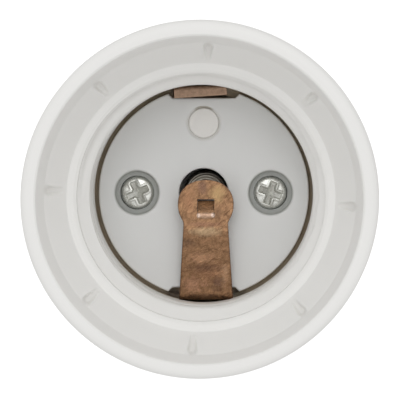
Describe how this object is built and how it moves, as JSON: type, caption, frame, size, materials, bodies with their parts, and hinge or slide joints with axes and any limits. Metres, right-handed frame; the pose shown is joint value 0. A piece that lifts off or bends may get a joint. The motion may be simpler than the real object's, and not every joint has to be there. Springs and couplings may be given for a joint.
{
  "type": "lamp socket adapter",
  "caption": "Round moulded adapter that screws into a small lamp holder and takes a lamp with a larger screw cap in its flared mouth.",
  "frame": {"origin": "centre of the seat where the screw shell meets the housing, on the axis of both threads", "axes": "+Z along the axis out of the mouth, +Y towards the side contact, +X to the right of someone looking into the mouth with the side contact at the top"},
  "size_m": [0.0572, 0.0572, 0.0865],
  "materials": {
    "housing_plastic": "warm white satin moulding",
    "plate_plastic": "pale grey-white moulding",
    "screw_steel": "bright zinc plated",
    "contact_copper": "tarnished copper strip",
    "spring_steel": "plain spring wire",
    "shell_nickel": "rolled sheet, nickel plated",
    "insulator_plastic": "white moulding",
    "pin_brass": "pressed pin",
    "lead_insulation": "soft white insulation",
    "solder": "dull solder"
  },
  "bodies": {
    "adapter": {"housing": "housing_plastic", "contact_plate": "plate_plastic", "plate_screw_left": "screw_steel", "plate_screw_right": "screw_steel", "contact_spring": "spring_steel", "screw_shell": "shell_nickel", "base_insulator": "insulator_plastic", "tip_contact": "pin_brass", "tip_lead": "lead_insulation", "shell_lead": "lead_insulation", "shell_solder": "solder"},
    "centre_strip": {"centre_contact": "contact_copper", "centre_solder": "solder"},
    "side_strip": {"side_contact": "contact_copper", "side_solder": "solder"}
  },
  "joints": [
    {"name": "centre contact press", "type": "hinge", "parent": "adapter", "child": "centre_strip", "pos_m": [0.0004, -0.017, 0.0237], "axis": [-1, 0, 0], "range_deg": [0, 9], "stiffness_Nm_per_rad": 0.3, "springref_deg": -2.86, "deforming": ["contact_spring", "tip_lead"]},
    {"name": "side contact flex", "type": "hinge", "parent": "adapter", "child": "side_strip", "pos_m": [-0.0004, 0.01715, 0.013], "axis": [-0.9986, -0.0523, 0], "range_deg": [0, 2.5], "stiffness_Nm_per_rad": 1, "springref_deg": -0.57, "deforming": ["shell_lead"]}
  ]
}
